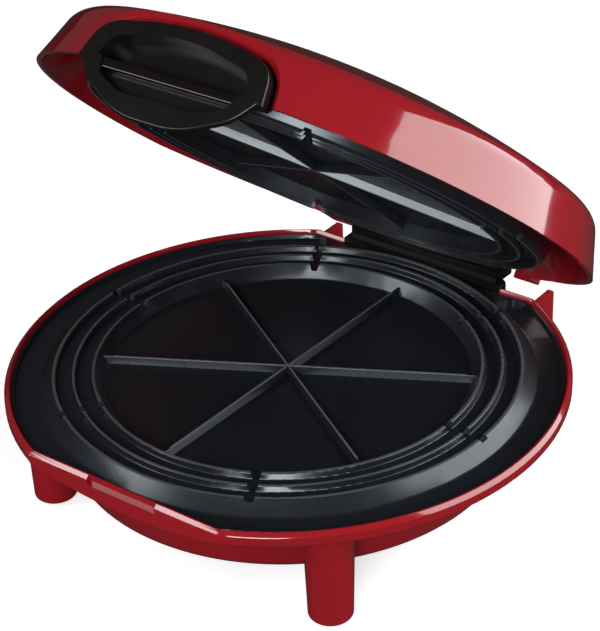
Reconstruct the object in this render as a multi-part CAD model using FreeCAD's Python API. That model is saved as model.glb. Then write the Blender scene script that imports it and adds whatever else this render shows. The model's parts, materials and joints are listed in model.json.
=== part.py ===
import FreeCAD, Part
import math
import os
from FreeCAD import Vector, Rotation

# Round quesadilla maker: a red dish on four legs, a red domed lid hinged at the back,
# and a black ridged plate in each half.  Millimetres, +Z up, front towards -Y.
# Everything is laid out about the base's own upright axis with the lid shut.  The lid is
# then turned open about the hinge, and the whole is moved so that the origin lies on the
# floor under the middle of the object.

# ---- pose and origin ----
lid_open_angle = 42.0
origin_behind_axis = 10.1

# ---- plates ----
plate_turn = -2.2
ring_first_radius = 105.0
ring_pitch = 10.5
ring_count = 3
ring_top_width = 1.8
ring_foot_width = 3.6
ring_crown_round = 0.8
ring_valley_depth = 3.4
ring_valley_round = 0.8
ring_stand = 2.7
ridge_depth = 3.4
ridge_top_width = 1.2
ridge_foot_width = 3.0
ridge_count = 6
pocket_depth = 7.7
pocket_wall_run = 4.7
plate_thickness = 4.0
notch_width = 3.0
notch_flare = 2.8
shoulder_drop = 0.9
shoulder_run = 8.2
channel_width = 13.6
channel_drop = 7.1
channel_floor_thickness = 2.4
channel_lip_width = 1.0
channel_lip_drop = 4.7
channel_end_x = 61.0
channel_end_round = 6.0
plate_seat_gap = 0.2
plate_gap = 1.0
upper_plate_margin = 5.0
upper_plate_draft = 3.0
upper_edge_height = 1.6
upper_plate_height = 16.0
upper_skirt_wall = 3.0
lug_angles = (0.0, 120.0, 240.0)
lug_reach = 7.0
lug_width = 10.0
lug_bottom = 8.5
lug_thickness = 3.5

# ---- base dish ----
bowl_bottom_z = 22.0
bowl_height = 30.0
bowl_taper = 9.0
bowl_corner_round = 9.0
bowl_top_inset = 11.0
knee_inset = 13.0
knee_rise = 2.0
knee_wall = 3.5
flange_rise = 7.0
rim_side_height = 5.0
rim_edge_drop = 2.0
rim_outer_slope = 2.0
rim_crest_width = 0.8
rim_crest_round = 0.4
rim_inner_slope = 1.2
rim_inner_drop = 2.3
front_flat_cut = 12.5
rear_flat_cut = 19.4
shell_wall = 2.6
ledge_width = 6.0
flat_ledge_width = 3.5
under_ledge_gap = 0.5
recess_width = 44.0
recess_height = 5.0
recess_depth = 2.0

# ---- legs ----
leg_offset = 2.0
leg_bottom_radius = 11.7
leg_top_radius = 13.4
leg_edge_round = 2.0
pad_radius = 7.5
pad_thickness = 3.0
pad_proud = 0.8

# ---- hinge ----
hinge_behind = 7.4
hinge_rise = 13.3
pin_radius = 2.5
pin_fit = 0.02
pin_running_gap = 0.06
knuckle_radius = 7.0
knuckle_gap = 0.4
lid_knuckle = (24.0, 37.8)
base_knuckle_width = 11.8
bracket_half_width = 54.0
bracket_corner_round = 3.0
bracket_plate_thickness = 3.0
bracket_seat_height = 3.1
bracket_lip_gap = 0.2
hinge_block_height = 9.3
hinge_block_setback = 1.9
arm_reach = 8.6
arm_back_height = 8.0
cover_setback = 9.6
cover_thickness = 1.6
cover_drop = 6.0
beam_gap = 1.0
beam_front_reach = 1.5
beam_back_reach = 9.0
heel_reach = 12.0
heel_thickness = 3.5
stop_gap = 0.4
hinge_max_angle = 95.0
hinge_screw_rise = 5.0
hinge_screw_x = 38.0

# ---- lid shell ----
lid_overhang = 2.7
lid_rim_rise = 1.2
lid_wall_lean = 8.7
lid_wall_top = 28.0
lid_shoulder_round = 13.0
lid_crown = 54.0
lid_crown_radius = 466.0
lid_wall = 2.8
lid_front_overhang = 3.8
lid_front_lean = 5.5
lid_rear_cut_start = 60.0
lid_rear_cut_end = 125.0
lid_rear_cut_rise = 2.6
tail_half_width = 72.0
tail_reach = 13.5
tail_root = 41.0
tail_top = 34.0
tail_round = 9.0
tail_corner_round = 3.2
tail_lean = 1.0
hinge_notch_gap = 1.3
hinge_notch_top = 24.0
hinge_notch_reach = 8.0
post_radius = 4.5
lid_screw_x = 12.0
bracket_pad = 4.0

# ---- rear stand fins ----
fin_offset = 2.0
fin_thickness = 3.0
fin_reach = 13.3
fin_drop = 5.0
fin_bottom_rise = 4.0
fin_root_depth = 1.5
fin_top_round = 2.4
fin_foot_round = 8.0

# ---- handle ----
handle_stand = 4.7
handle_lean = 7.8
arch_form = (55.0, 4.5, 20.2, 30.3, 16.0, 146.0)
chin_size = (52.0, 24.2)
chin_waist = (8.5, 11.5)
chin_floor_half = 18.0
chin_rounds = (30.0, 50.0)
chin_thickness = 2.5
handle_rim_depth = 7.0
handle_edge_round = 1.2
handle_back_gap = 0.7
handle_arch_gap = 1.2
arch_flare = 3.0
arch_flare_depth = 2.4
pocket_upper = (44.0, 2.5, 13.4, 22.5, 10.0, 85.0)
pocket_upper_depth = 10.0
pocket_lower = (41.0, 12.6)
pocket_lower_depth = 5.6
pocket_pan_wall = 1.5
bar_half_length = 47.5
bar_low = -3.2
bar_high = 2.6
bar_face_depth = 0.9
bar_back_depth = 5.2
bar_seat_gap = 0.1
catch_half_width = 20.5
catch_gap = 0.5
ear_offset = 9.0
ear_half = 4.5
ear_height = 8.0
ear_thickness = 2.5
ear_setback = 10.0
ear_web = 3.0

# ---- heating parts and fixings ----
seat_gap = 0.1
leg_screw_length = 14.0
screw_radius = 1.6
screw_head_radius = 3.2
screw_head_height = 2.2
screw_head_gap = 0.3
screw_gap = 0.1
screw_bite = 5.0
boss_inset = 11.0
boss_size = 4.6
boss_drop = 9.0
shield_boss_gap = 1.2
shield_flange = 7.2
shield_depth = 15.0
shield_sheet = 0.8
shield_round = 4.0
shield_screw_angles = (60.0, 180.0, 300.0)
element_tube_radius = 3.25
element_gap_angle = 50.0
element_tail = 16.0
clip_angles = (20.0, 140.0, 260.0)
clip_length = 26.0
clip_width = 10.0
clip_thickness = 1.5
clip_screw_margin = 3.0
clip_wall_gap = 6.275
thermostat_y = -25.0
thermostat_radius = 8.0
thermostat_height = 9.0
thermostat_flange = (14.0, 5.0, 1.2)
blade_size = (0.4, 3.0, 4.0)
fuse_x = -30.0
fuse_length = 22.0
fuse_radius = 2.4
fuse_lead = 8.0
fuse_lead_radius = 0.6
block_size = (26.0, 14.0, 10.0)
block_inset = 46.0
block_well_radius = 2.0
block_well_depth = 5.0
inlet_x = 24.0
inlet_rise = 18.0
inlet_radius = 7.0
inlet_neck = 2.0
inlet_bore_radius = 3.6
inlet_stand_out = 7.0
inlet_nut_length = 3.0
inlet_nut_step = 0.6
inlet_nose_taper = 1.8

# ---- worked out ----
ring_radii = tuple(ring_first_radius + k * ring_pitch for k in range(ring_count))
ring_foot_radius = ring_radii[-1] + ring_foot_width / 2
pocket_floor_radius = ring_first_radius - ring_top_width / 2 - pocket_wall_run
channel_inner_radius = ring_radii[-1] + shoulder_run
channel_outer_radius = channel_inner_radius + channel_width
plate_radius = channel_outer_radius + channel_lip_width
well_radius = plate_radius + plate_seat_gap
rim_radius = well_radius + rim_inner_slope + rim_crest_width + rim_outer_slope
rim_width = rim_radius - well_radius
front_flat_y = rim_radius - front_flat_cut
rear_flat_y = rim_radius - rear_flat_cut
flange_knee_radius = rim_radius - knee_inset
bowl_top_radius = flange_knee_radius - bowl_top_inset
bowl_bottom_radius = bowl_top_radius - bowl_taper
bowl_top_z = bowl_bottom_z + bowl_height
flange_knee_z = bowl_top_z + knee_rise
rim_side_z = flange_knee_z + flange_rise
rim_top_z = rim_side_z + rim_side_height + rim_edge_drop
ring_tip_z = rim_top_z + ring_stand
plate_under_z = ring_tip_z - pocket_depth - plate_thickness
channel_floor_z = ring_tip_z - channel_drop
channel_lip_z = ring_tip_z - channel_lip_drop
ledge_z = channel_floor_z - channel_floor_thickness
boss_radius = bowl_bottom_radius - boss_inset
boss_meet_z = plate_under_z - boss_drop
shield_radius = boss_radius - boss_size - shield_boss_gap - shield_flange
clip_screw_offset = element_tube_radius + screw_radius + clip_screw_margin
element_radius = shield_radius - shield_sheet - clip_wall_gap - clip_length / 2 - clip_screw_offset / 2
leg_radius_from_axis = bowl_top_radius + leg_offset
upper_tip_z = ring_tip_z + plate_gap
upper_back_z = upper_tip_z + pocket_depth + plate_thickness
upper_plate_radius = ring_radii[-1] + upper_plate_margin
lug_radius = upper_plate_radius + lug_reach
lid_rim_z = upper_tip_z + lid_rim_rise
lid_rim_radius = rim_radius + lid_overhang
lid_wall_top_radius = lid_rim_radius - lid_wall_lean
lid_front_y = front_flat_y + lid_front_overhang
handle_face_y = lid_front_y + handle_stand
handle_back_y = front_flat_y + handle_back_gap
hinge_y = rear_flat_y + hinge_behind
hinge_z = upper_tip_z + hinge_rise
tail_back_y = hinge_y + tail_reach
fin_x = tail_half_width + fin_offset
fin_back_y = hinge_y + fin_reach
fin_top_z = rim_top_z - fin_drop
fin_bottom_z = bowl_bottom_z + fin_bottom_rise
ear_x = arch_form[0] + ear_offset
base_knuckle = (lid_knuckle[1] + knuckle_gap, lid_knuckle[1] + knuckle_gap + base_knuckle_width)
hinge_block_top_z = rim_top_z + hinge_block_height
hinge_block_back_y = hinge_y - hinge_block_setback
hinge_cover_y = hinge_y - cover_setback
beam_low_z = hinge_z + knuckle_radius + beam_gap
hinge_screw_z = flange_knee_z + hinge_screw_rise
inlet_z = bowl_bottom_z + inlet_rise
FAR = 400.0


def vec(x, y, z):
    return Vector(x, y, z)


def rounded_edges(points, place):
    """Edges of a closed polygon of (u, v, corner radius), mapped by place(u, v)."""
    count = len(points)
    ends = []
    for i in range(count):
        u, v, radius = points[i]
        corner = Vector(u, v, 0)
        if radius <= 0:
            ends.append((corner, None, corner))
            continue
        before = Vector(points[i - 1][0], points[i - 1][1], 0).sub(corner)
        after = Vector(points[(i + 1) % count][0], points[(i + 1) % count][1], 0).sub(corner)
        before.normalize()
        after.normalize()
        half = before.getAngle(after) / 2
        reach = radius / math.tan(half)
        middle = before.add(after)
        middle.normalize()
        bulge = corner.add(middle.multiply(radius / math.sin(half) - radius))
        start = corner.add(Vector(before).multiply(reach))
        end = corner.add(Vector(after).multiply(reach))
        ends.append((start, bulge, end))
    edges = []
    for i in range(count):
        start, bulge, end = ends[i]
        if bulge is not None:
            edges.append(Part.Arc(place(start), place(bulge), place(end)).toShape())
        following = ends[(i + 1) % count][0]
        if end.sub(following).Length > 1e-6:
            edges.append(Part.LineSegment(place(end), place(following)).toShape())
    return edges


def with_radius(points):
    return [point if len(point) == 3 else (point[0], point[1], 0.0) for point in points]


def revolved(points):
    """Solid of revolution about Z from a closed outline of (radius, z, corner radius)."""
    edges = rounded_edges(with_radius(points), lambda p: Vector(p.x, 0, p.y))
    return Part.Face(Part.Wire(edges)).revolve(vec(0, 0, 0), vec(0, 0, 1), 360)


def prism_x(points, low, high):
    """Outline of (y, z, corner radius) drawn out along X."""
    edges = rounded_edges(with_radius(points), lambda p: Vector(low, p.x, p.y))
    return Part.Face(Part.Wire(edges)).extrude(vec(high - low, 0, 0))


def prism_z(points, low, high):
    """Outline of (x, y, corner radius) drawn out along Z."""
    edges = rounded_edges(with_radius(points), lambda p: Vector(p.x, p.y, low))
    return Part.Face(Part.Wire(edges)).extrude(vec(0, 0, high - low))


def box(x0, x1, y0, y1, z0, z1):
    return Part.makeBox(x1 - x0, y1 - y0, z1 - z0, vec(x0, y0, z0))


def cylinder(radius, height, base, axis=(0, 0, 1)):
    return Part.makeCylinder(radius, height, vec(*base), vec(*axis))


def turned(shape, angle, centre=(0, 0, 0), axis=(0, 0, 1)):
    copy = shape.copy()
    copy.rotate(vec(*centre), vec(*axis), angle)
    return copy


def moved(shape, x, y, z):
    copy = shape.copy()
    copy.translate(vec(x, y, z))
    return copy


def mirrored_x(shape):
    return shape.mirror(vec(0, 0, 0), vec(1, 0, 0))


def fused(shapes):
    result = shapes[0].fuse(list(shapes[1:])) if len(shapes) > 1 else shapes[0]
    return result.removeSplitter()


def around(shape, angles):
    return [turned(shape, angle) for angle in angles]


def polar(radius, angle, z=0.0):
    turn = math.radians(angle)
    return (radius * math.cos(turn), radius * math.sin(turn), z)


def prism_y(points, low, high):
    """Outline of (x, z, corner radius) drawn out along Y."""
    edges = rounded_edges(with_radius(points), lambda p: Vector(p.x, low, p.y))
    return Part.Face(Part.Wire(edges)).extrude(vec(0, high - low, 0))


def screw(length, head_radius=screw_head_radius, shank=screw_radius):
    """Pan-head screw pointing along +Z, its head's seat at z = 0."""
    head = cylinder(head_radius, screw_head_height, (0, 0, -screw_head_height))
    head = head.makeFillet(screw_head_height * 0.35, [head.Edges[2]])
    slot = box(-head_radius, head_radius, -0.4, 0.4, -screw_head_height - 0.1, -screw_head_height + 0.8)
    return fused([head, cylinder(shank, length, (0, 0, -0.01))]).cut(slot)


# ---- base ----


def base_outer():
    """Filled outer form of the dish."""
    edge = rim_top_z - rim_edge_drop
    body = revolved([
        (0, bowl_bottom_z),
        (bowl_bottom_radius, bowl_bottom_z, bowl_corner_round),
        (bowl_top_radius, bowl_top_z, 3.0),
        (flange_knee_radius, flange_knee_z, 6.0),
        (rim_radius, rim_side_z, 1.0),
        (rim_radius, edge, 1.0),
        (rim_radius - rim_outer_slope, rim_top_z, rim_crest_round),
        (well_radius + rim_inner_slope, rim_top_z, rim_crest_round),
        (well_radius, rim_top_z - rim_inner_drop),
        (0, rim_top_z - rim_inner_drop),
    ])
    low = bowl_bottom_z - 10
    front = -front_flat_y
    rear = rear_flat_y
    crest = rim_outer_slope + rim_crest_width
    trim = prism_x([
        (front, low),
        (rear, low),
        (rear, edge, 1.0),
        (rear - rim_outer_slope, rim_top_z, rim_crest_round),
        (rear - crest, rim_top_z + 0.01),
        (rear - crest - 5, rim_top_z + 1.0),
        (front + crest + 5, rim_top_z + 1.0),
        (front + crest, rim_top_z + 0.01),
        (front + rim_outer_slope, rim_top_z, rim_crest_round),
        (front, edge, 1.0),
    ], -FAR, FAR)
    filling = cylinder(rim_radius - crest, rim_inner_drop, (0, 0, rim_top_z - rim_inner_drop))
    return body.fuse(filling).common(trim)


def plate_well(radius, front, rear, low, high):
    """Round space with a flat front and back, between two heights."""
    return cylinder(radius, high - low, (0, 0, low)).common(box(-FAR, FAR, -front, rear, low, high))


def rim_bevel():
    """Space above the rim's inner slope: a round funnel with a flat front and back."""
    low = rim_top_z - rim_inner_drop
    slope = rim_inner_slope / rim_inner_drop
    high = low + rim_inner_drop + 3.0
    spread = slope * (high - low)
    funnel = revolved([(0, low), (well_radius, low), (well_radius + spread, high), (0, high)])
    front = front_flat_y - rim_width
    rear = rear_flat_y - rim_width
    return funnel.common(prism_x([(-front, low), (rear, low), (rear + spread, high), (-front - spread, high)],
                                 -FAR, FAR))


def fins():
    root = math.sqrt(bowl_bottom_radius ** 2 - fin_x ** 2) - fin_root_depth
    outline = [
        (root, fin_top_z),
        (root, fin_bottom_z),
        (fin_back_y, fin_bottom_z, fin_foot_round),
        (fin_back_y, fin_top_z, fin_top_round),
    ]
    fin = prism_x(outline, fin_x - fin_thickness / 2, fin_x + fin_thickness / 2)
    return [fin, mirrored_x(fin)]


def plate_bosses_low():
    """Posts that stand on the dish's floor and carry the lower plate's screws."""
    low = bowl_bottom_z + shell_wall / 2
    return [
        cylinder(boss_size, boss_meet_z - low, polar(boss_radius, angle, low))
        for angle in lug_angles
    ]


def dish_hollow():
    """Space inside the dish below the ledge, and the well above it that takes the plate."""
    ledge = rim_width + ledge_width
    flat_ledge = rim_width + flat_ledge_width
    inner = revolved([
        (0, bowl_bottom_z + shell_wall),
        (bowl_bottom_radius - shell_wall, bowl_bottom_z + shell_wall, bowl_corner_round - shell_wall),
        (bowl_top_radius - shell_wall, bowl_top_z + shell_wall, 3.0),
        (flange_knee_radius - knee_wall, flange_knee_z + shell_wall, 3.0),
        (rim_radius - ledge, ledge_z - 0.6),
        (rim_radius - ledge, ledge_z + 1),
        (0, ledge_z + 1),
    ])
    trimmed = inner.common(box(-FAR, FAR, -front_flat_y + flat_ledge, rear_flat_y - flat_ledge, 0, FAR))
    well = plate_well(well_radius, front_flat_y - rim_width, rear_flat_y - rim_width, ledge_z, rim_top_z + 3)
    return trimmed.fuse(well).fuse(rim_bevel())


def base_shell():
    outer = base_outer()
    hollow = dish_hollow()
    latch = box(
        -recess_width / 2, recess_width / 2, -front_flat_y - 5, -front_flat_y + recess_depth,
        rim_top_z - recess_height, rim_top_z + 5,
    )
    posts = [post.common(outer) for post in plate_bosses_low()]
    shell = outer.cut(hollow).fuse(posts).fuse([fin.cut(hollow) for fin in fins()]).removeSplitter()
    holes = [latch]
    for angle in lug_angles:
        spot = polar(boss_radius, angle, bowl_bottom_z - 1)
        holes.append(cylinder(screw_radius + screw_gap, boss_meet_z, spot))
        holes.append(cylinder(screw_head_radius + screw_head_gap, lower_screw_seat() - spot[2], spot))
    for x, y in leg_spots().values():
        holes.append(cylinder(screw_radius + screw_gap, 20, (x, y, flange_knee_z - 12)))
    spot = (inlet_x, bowl_bottom_radius - 12, inlet_z)
    holes.append(cylinder(inlet_radius - inlet_neck + seat_gap, 30, spot, (0, 1, 0)))
    depth = screw_bite + 2
    for x in (-hinge_screw_x, hinge_screw_x):
        spot = (x, rear_flat_y - depth, hinge_screw_z)
        holes.append(cylinder(screw_radius + screw_gap, depth + 5, spot, (0, 1, 0)))
    return shell.cut(holes)


def lower_screw_seat():
    """Height at which the heads of the lower plate's screws bear."""
    return bowl_bottom_z + shell_wall + 0.4


def wedge_ridges(sign, tip):
    """Straight ridges through the centre; sign is -1 where they stand up and +1 where they hang."""
    top = tip + sign * ridge_depth
    floor = tip + sign * pocket_depth
    reach = ring_first_radius
    bars = []
    for k in range(ridge_count // 2):
        edges = rounded_edges(with_radius([
            (-ridge_foot_width / 2, floor + sign),
            (-ridge_foot_width / 2, floor),
            (-ridge_top_width / 2, top, 0.5),
            (ridge_top_width / 2, top, 0.5),
            (ridge_foot_width / 2, floor),
            (ridge_foot_width / 2, floor + sign),
        ]), lambda p: Vector(-reach, p.x, p.y))
        bar = Part.Face(Part.Wire(edges)).extrude(vec(2 * reach, 0, 0))
        bars.append(turned(bar, plate_turn + (k + 0.5) * 360.0 / ridge_count))
    return bars


def ring_profile(sign, tip):
    """Outline points over the rings, from the pocket's wall outwards."""
    valley = tip + sign * ring_valley_depth
    slope = (ring_foot_width - ring_top_width) / 2
    points = [(pocket_floor_radius, tip + sign * pocket_depth, 1.5)]
    for radius in ring_radii:
        inner = radius - ring_top_width / 2
        outer = radius + ring_top_width / 2
        if radius != ring_radii[0]:
            points.append((inner - slope, valley, ring_valley_round))
        points.append((inner, tip, ring_crown_round))
        points.append((outer, tip, ring_crown_round))
        if radius != ring_radii[-1]:
            points.append((outer + slope, valley, ring_valley_round))
    return points


def drain_notches(sign, tip):
    """Gaps through the rings, midway between the ridges, with sloping sides."""
    valley = tip + sign * ring_valley_depth
    beyond = tip - sign * 1.0
    start = ring_first_radius - ring_foot_width / 2 - 2.0
    end = ring_foot_radius + 0.5
    half = notch_width / 2
    flare = notch_flare / 2 * (ring_valley_depth + 1.0) / ring_valley_depth
    outline = [(-half, valley), (half, valley), (half + flare, beyond), (-half - flare, beyond)]
    edges = rounded_edges(with_radius(outline), lambda p: Vector(start, p.x, p.y))
    gap = Part.Face(Part.Wire(edges)).extrude(vec(end - start, 0, 0))
    return around(gap, [plate_turn + k * 360.0 / ridge_count for k in range(ridge_count)])


def plate_face(sign, tip, back, outer_points):
    """Ridged round casting: rings, wedge pockets and ridges."""
    disc = revolved([(0, back), (0, tip + sign * pocket_depth)] + ring_profile(sign, tip)
                    + outer_points + [(outer_points[-1][0], back)])
    disc = disc.cut(drain_notches(sign, tip))
    within = cylinder(ring_first_radius - ring_top_width / 2, 2 * FAR, (0, 0, -FAR))
    bars = [bar.common(within) for bar in wedge_ridges(sign, tip)]
    return fused([disc] + bars)


def channel_space():
    """Drip channel round the rings; it ends short of the hinge on each side."""
    front = front_flat_y - rim_width - plate_seat_gap - channel_lip_width
    rear = rear_flat_y - rim_width - plate_seat_gap - channel_lip_width
    low = channel_floor_z
    high = rim_top_z + 5
    ahead = box(-FAR, FAR, -front, ring_radii[0], low, high)
    beside = prism_z([
        (channel_end_x, ring_radii[0] - 1), (FAR, ring_radii[0] - 1), (FAR, rear),
        (channel_end_x, rear, channel_end_round),
    ], low, high)
    plan = ahead.fuse([beside, mirrored_x(beside)])
    ring = revolved([
        (ring_foot_radius, low), (channel_outer_radius - 0.8, low, 0.7),
        (channel_outer_radius, channel_lip_z), (channel_outer_radius, high), (ring_foot_radius, high),
    ])
    return ring.common(plan)


def lower_plate():
    low = ledge_z
    round_edge = plate_radius
    front = front_flat_y - rim_width - plate_seat_gap
    rear = rear_flat_y - rim_width - plate_seat_gap
    centre = plate_face(-1, ring_tip_z, plate_under_z, [
        (ring_foot_radius, ring_tip_z - shoulder_drop, 0.5),
        (channel_inner_radius, channel_floor_z, 3.0),
        (channel_inner_radius + 4, channel_floor_z),
    ])
    centre = centre.common(plate_well(round_edge, front, rear, plate_under_z, FAR))
    tray = plate_well(round_edge, front, rear, low, channel_lip_z)
    band = tray.cut(channel_space()).cut(cylinder(ring_foot_radius - 0.3, 2 * FAR, (0, 0, -FAR)))
    margin = rim_width + flat_ledge_width + under_ledge_gap
    inside = plate_well(rim_radius - rim_width - ledge_width - under_ledge_gap, front_flat_y - margin,
                        rear_flat_y - margin, plate_under_z - 1, low)
    below = box(-FAR, FAR, -FAR, FAR, plate_under_z - 1, low).cut(inside)
    bosses = []
    for angle in lug_angles:
        spot = polar(boss_radius, angle, boss_meet_z)
        bosses.append(cylinder(boss_size, plate_under_z - boss_meet_z + 0.5, spot))
    plate = fused([centre, band]).cut(below).fuse(bosses).removeSplitter()
    holes = []
    for angle in lug_angles:
        depth = plate_under_z - boss_meet_z + 1
        holes.append(cylinder(screw_radius + screw_gap, depth, polar(boss_radius, angle, boss_meet_z - 1)))
    for angle in clip_angles + shield_screw_angles:
        radius = element_radius + clip_screw_offset if angle in clip_angles else shield_screw_radius()
        spot = polar(radius, angle, plate_under_z - 1)
        holes.append(cylinder(screw_radius + screw_gap, plate_thickness, spot))
    return plate.cut(holes)


def shield_screw_radius():
    return shield_radius + shield_flange / 2


def leg_spots():
    reach = leg_radius_from_axis * math.sqrt(0.5)
    return {
        "front_left": (-reach, -reach),
        "front_right": (reach, -reach),
        "rear_left": (-reach, reach),
        "rear_right": (reach, reach),
    }


def leg(spot, dish):
    """Tapered round leg, cut to sit against the underside of the dish."""
    top = rim_top_z - rim_inner_drop
    blank = revolved([
        (0, pad_proud),
        (leg_bottom_radius, pad_proud, leg_edge_round),
        (leg_top_radius, top),
        (0, top),
    ])
    blank = moved(blank, spot[0], spot[1], 0)
    blank = blank.common(cylinder(rim_radius, top, (0, 0, 0))).cut(dish)
    pieces = sorted(blank.Solids, key=lambda solid: solid.BoundBox.ZMin)
    recess = cylinder(pad_radius + seat_gap, pad_thickness, (spot[0], spot[1], 0))
    depth = leg_screw_length - (leg_screw_seat() - flange_knee_z) + 2.0
    pilot = cylinder(screw_radius + screw_gap, depth + 4.0, (spot[0], spot[1], flange_knee_z - depth))
    return pieces[0].cut([recess, pilot])


def foot_pads():
    pad = revolved([(0, 0), (pad_radius, 0, 0.6), (pad_radius, pad_thickness), (0, pad_thickness)])
    return [moved(pad, x, y, 0) for x, y in leg_spots().values()]


def foot_screws():
    seat = leg_screw_seat()
    piece = turned(screw(leg_screw_length), 180, axis=(1, 0, 0))
    return [moved(piece, x, y, seat) for x, y in leg_spots().values()]


def leg_screw_seat():
    """Height of the flange's inside where the leg screws' heads rest."""
    run = bowl_top_inset - knee_wall + shell_wall
    inside = bowl_top_z + shell_wall
    return inside + knee_rise * (leg_offset + screw_head_radius + shell_wall) / run + 0.2


def lower_plate_screws():
    seat = lower_screw_seat()
    piece = screw(plate_under_z - 1.0 - seat)
    return [moved(piece, *polar(boss_radius, angle, seat)) for angle in lug_angles]


# ---- heating parts ----


def element(z, sign):
    """Open ring of tube with two short tails; sign is the way the tails turn."""
    circle = Part.Wire(Part.Circle(vec(element_radius, 0, z), vec(0, 1, 0), element_tube_radius).toShape())
    sweep = 360.0 - element_gap_angle
    ring = Part.Face(circle).revolve(vec(0, 0, 0), vec(0, 0, 1), sweep)
    ring = turned(ring, 90 + element_gap_angle / 2)
    tails = []
    for side in (-1, 1):
        spot = polar(element_radius, 90 + side * element_gap_angle / 2, z)
        tails.append(cylinder(element_tube_radius * 0.7, element_tail, spot, (0, 0, sign)))
        tails.append(Part.makeSphere(element_tube_radius, vec(*spot)))
    return fused([ring] + tails)


def clips(z_low):
    """Short straps across the element, each with its screw hole."""
    straps = []
    for angle in clip_angles:
        centre = element_radius + clip_screw_offset / 2
        strap = box(centre - clip_length / 2, centre + clip_length / 2, -clip_width / 2, clip_width / 2,
                    z_low, z_low + clip_thickness)
        hole = cylinder(screw_radius + screw_gap, 10, (element_radius + clip_screw_offset, 0, z_low - 4))
        straps.append(turned(strap.cut(hole), angle))
    return straps


def clip_screws(seat, upward):
    length = 2 * element_tube_radius + clip_thickness + plate_thickness / 2
    piece = screw(length) if upward else turned(screw(length), 180, axis=(1, 0, 0))
    radius = element_radius + clip_screw_offset
    return [moved(piece, *polar(radius, angle, seat)) for angle in clip_angles]


def shield(plate_back, sign):
    """Sheet pan that covers the element, with a flange against the plate's back."""
    deep = plate_back + sign * shield_depth
    sheet = sign * shield_sheet
    near = plate_back + sign * seat_gap
    return revolved([
        (0, deep), (shield_radius, deep, shield_round), (shield_radius, near + sheet, 0.0),
        (shield_radius + shield_flange, near + sheet), (shield_radius + shield_flange, near),
        (shield_radius - shield_sheet, near),
        (shield_radius - shield_sheet, deep - sheet, shield_round - shield_sheet), (0, deep - sheet),
    ]).cut([
        cylinder(screw_radius + screw_gap, 20, polar(shield_screw_radius(), angle, plate_back - 10))
        for angle in shield_screw_angles
    ]).cut([
        cylinder(element_tube_radius, 20, polar(element_radius, 90 + side * element_gap_angle / 2, deep - 10))
        for side in (-1, 1)
    ])


def shield_screws(seat, upward):
    length = shield_sheet + plate_thickness * 0.7
    piece = screw(length) if upward else turned(screw(length), 180, axis=(1, 0, 0))
    return [moved(piece, *polar(shield_screw_radius(), angle, seat)) for angle in shield_screw_angles]


def between(one, other):
    return min(one, other), max(one, other)


def thermostat(plate_back, sign):
    """Round switch with a flange against the plate's back and two blades."""
    near = plate_back + sign * seat_gap
    end = near + sign * thermostat_height
    y = thermostat_y
    body = cylinder(thermostat_radius, thermostat_height, (0, y, min(near, end)))
    half, depth, thick = thermostat_flange
    low, high = between(near, near + sign * thick)
    flange = box(-half, half, y - depth, y + depth, low, high)
    width, reach, length = blade_size
    low, high = between(end, end + sign * length)
    blades = [
        box(side * thermostat_radius / 2 - width, side * thermostat_radius / 2 + width, y - reach, y + reach, low, high)
        for side in (-1, 1)
    ]
    return fused([body, flange] + blades)


def thermal_fuse():
    z = plate_under_z - fuse_radius - seat_gap
    body = cylinder(fuse_radius, fuse_length, (fuse_x - fuse_length / 2, 0, z), (1, 0, 0))
    start = fuse_x - fuse_length / 2 - fuse_lead
    leads = cylinder(fuse_lead_radius, fuse_length + 2 * fuse_lead, (start, 0, z), (1, 0, 0))
    return fused([body, leads])


def terminal_block():
    length, depth, height = block_size
    low = bowl_bottom_z + shell_wall
    y = bowl_bottom_radius - block_inset
    body = box(-length / 2, length / 2, y, y + depth, low, low + height)
    wells = [
        cylinder(block_well_radius, block_well_depth, (x, y + depth / 2, low + height - block_well_depth))
        for x in (-length / 4, length / 4)
    ]
    return body.cut(wells)


def inlet_bushing():
    """Bushing that lines the hole where the supply cord would come out."""
    outside = inlet_collar_y()
    inside = inlet_nut_y()
    along = (0, 1, 0)
    body = cylinder(inlet_radius - inlet_neck, outside + 1 - inside, (inlet_x, inside, inlet_z), along)
    nut = cylinder(inlet_radius - inlet_nut_step, inlet_nut_length, (inlet_x, inside, inlet_z), along)
    nose = Part.makeCone(inlet_radius, inlet_radius - inlet_nose_taper, inlet_stand_out,
                         vec(inlet_x, outside, inlet_z), vec(*along))
    length = outside + inlet_stand_out - inside + 2
    bore = cylinder(inlet_bore_radius, length, (inlet_x, inside - 1, inlet_z), along)
    return fused([body, nut, nose]).cut(bore)


def inlet_nut_y():
    """Where the bushing's inner collar starts, clear of the dish's curved wall."""
    slope = bowl_taper / bowl_height
    radius = bowl_bottom_radius - shell_wall + slope * (inlet_z - inlet_radius - bowl_bottom_z)
    return math.sqrt(radius ** 2 - (inlet_x + inlet_radius) ** 2) - inlet_nut_length - seat_gap


def inlet_collar_y():
    """Where the bushing's collar clears the sloping side of the dish."""
    slope = bowl_taper / bowl_height
    radius = bowl_bottom_radius + slope * (inlet_z + inlet_radius - bowl_bottom_z)
    return math.sqrt(radius ** 2 - (inlet_x - inlet_radius) ** 2) + seat_gap


# ---- lid ----


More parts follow.
